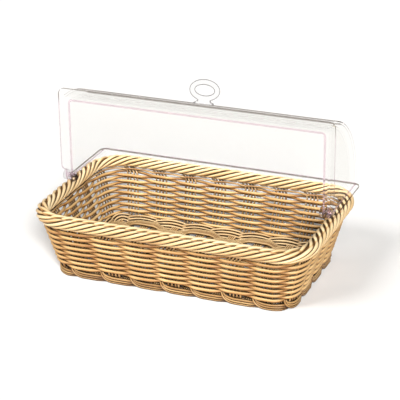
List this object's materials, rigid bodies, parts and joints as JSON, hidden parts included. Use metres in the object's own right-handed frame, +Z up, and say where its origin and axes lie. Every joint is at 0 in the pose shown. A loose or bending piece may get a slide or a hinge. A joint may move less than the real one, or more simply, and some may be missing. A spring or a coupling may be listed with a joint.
{
  "type": "bread display basket with roll-top cover",
  "caption": "Woven cane countertop basket for bread with a clear quarter-round cover whose front shell rolls back over the fixed rear shell.",
  "frame": {"origin": "middle of the basket's foot, on the counter", "axes": "+Z up, +X to the right along the basket's length, -Y to the customer"},
  "size_m": [0.4, 0.25, 0.2553],
  "materials": {
    "cane": "extruded cane, honey coloured, slightly glossy",
    "weaver": "extruded cane, honey coloured, slightly glossy",
    "stake": "extruded cane, a shade darker",
    "wire": "brown coated steel wire",
    "clear_shell": "clear polished",
    "clear_pivot": "clear polished"
  },
  "bodies": {
    "basket": {"rim_wire": "wire", "rim_strand_1": "cane", "rim_strand_2": "cane", "rim_strand_3": "cane", "rim_strand_4": "cane", "front_stakes": "stake", "back_stakes": "stake", "left_stakes": "stake", "right_stakes": "stake", "weaver_01": "weaver", "weaver_02": "weaver", "weaver_03": "weaver", "weaver_04": "weaver", "weaver_05": "weaver", "weaver_06": "weaver", "weaver_07": "weaver", "weaver_08": "weaver", "weaver_09": "weaver", "weaver_10": "weaver", "weaver_11": "weaver", "weaver_12": "weaver", "weaver_13": "weaver", "weaver_14": "weaver", "weaver_15": "weaver", "front_foot_loops": "cane", "back_foot_loops": "cane", "left_foot_loops": "cane", "right_foot_loops": "cane", "floor_wire": "wire", "floor_stakes": "stake", "floor_canes": "cane"},
    "rear_cover": {"rear_shell": "clear_shell", "pivot_pins": "clear_pivot", "pivot_caps": "clear_pivot", "pivot_spacers": "clear_pivot"},
    "front_cover": {"front_shell": "clear_shell", "ring_handle": "clear_shell"}
  },
  "joints": [
    {"name": "cover_lift", "type": "slide", "parent": "basket", "child": "rear_cover", "axis": [0, 0, 1], "range_m": [0, 0.12]},
    {"name": "cover_roll", "type": "hinge", "parent": "rear_cover", "child": "front_cover", "pos_m": [0, 0, 0.1055], "axis": [1, 0, 0], "range_deg": [0, 90]}
  ]
}
